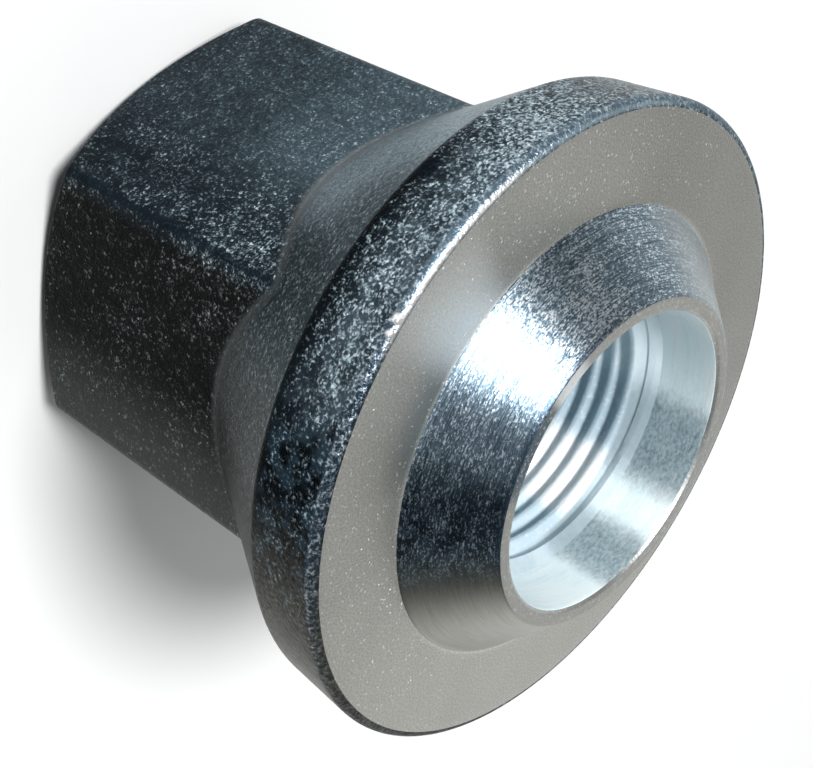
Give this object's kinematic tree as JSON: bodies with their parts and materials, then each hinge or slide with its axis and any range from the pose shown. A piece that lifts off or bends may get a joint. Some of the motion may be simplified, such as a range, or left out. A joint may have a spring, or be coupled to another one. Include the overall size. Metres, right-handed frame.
{
  "type": "conical seat hex nut",
  "caption": "Zinc plated flanged hex nut with a conical seat round the mouth of its threaded bore, which centres and clamps a wheel or hub on a stud.",
  "frame": {"origin": "centre of the end face of the hexagon, on the bore axis", "axes": "+Z along the bore axis, from the hex end to the seat; +X through a corner of the hexagon"},
  "size_m": [0.0454, 0.0454, 0.0403],
  "materials": {
    "zinc_plated_steel": "bright zinc plating, satin on the flange face, grainy and sparkling on the hexagon and rim, turned lines on the seat"
  },
  "bodies": {
    "root": {"nut": "zinc_plated_steel"}
  },
  "joints": []
}
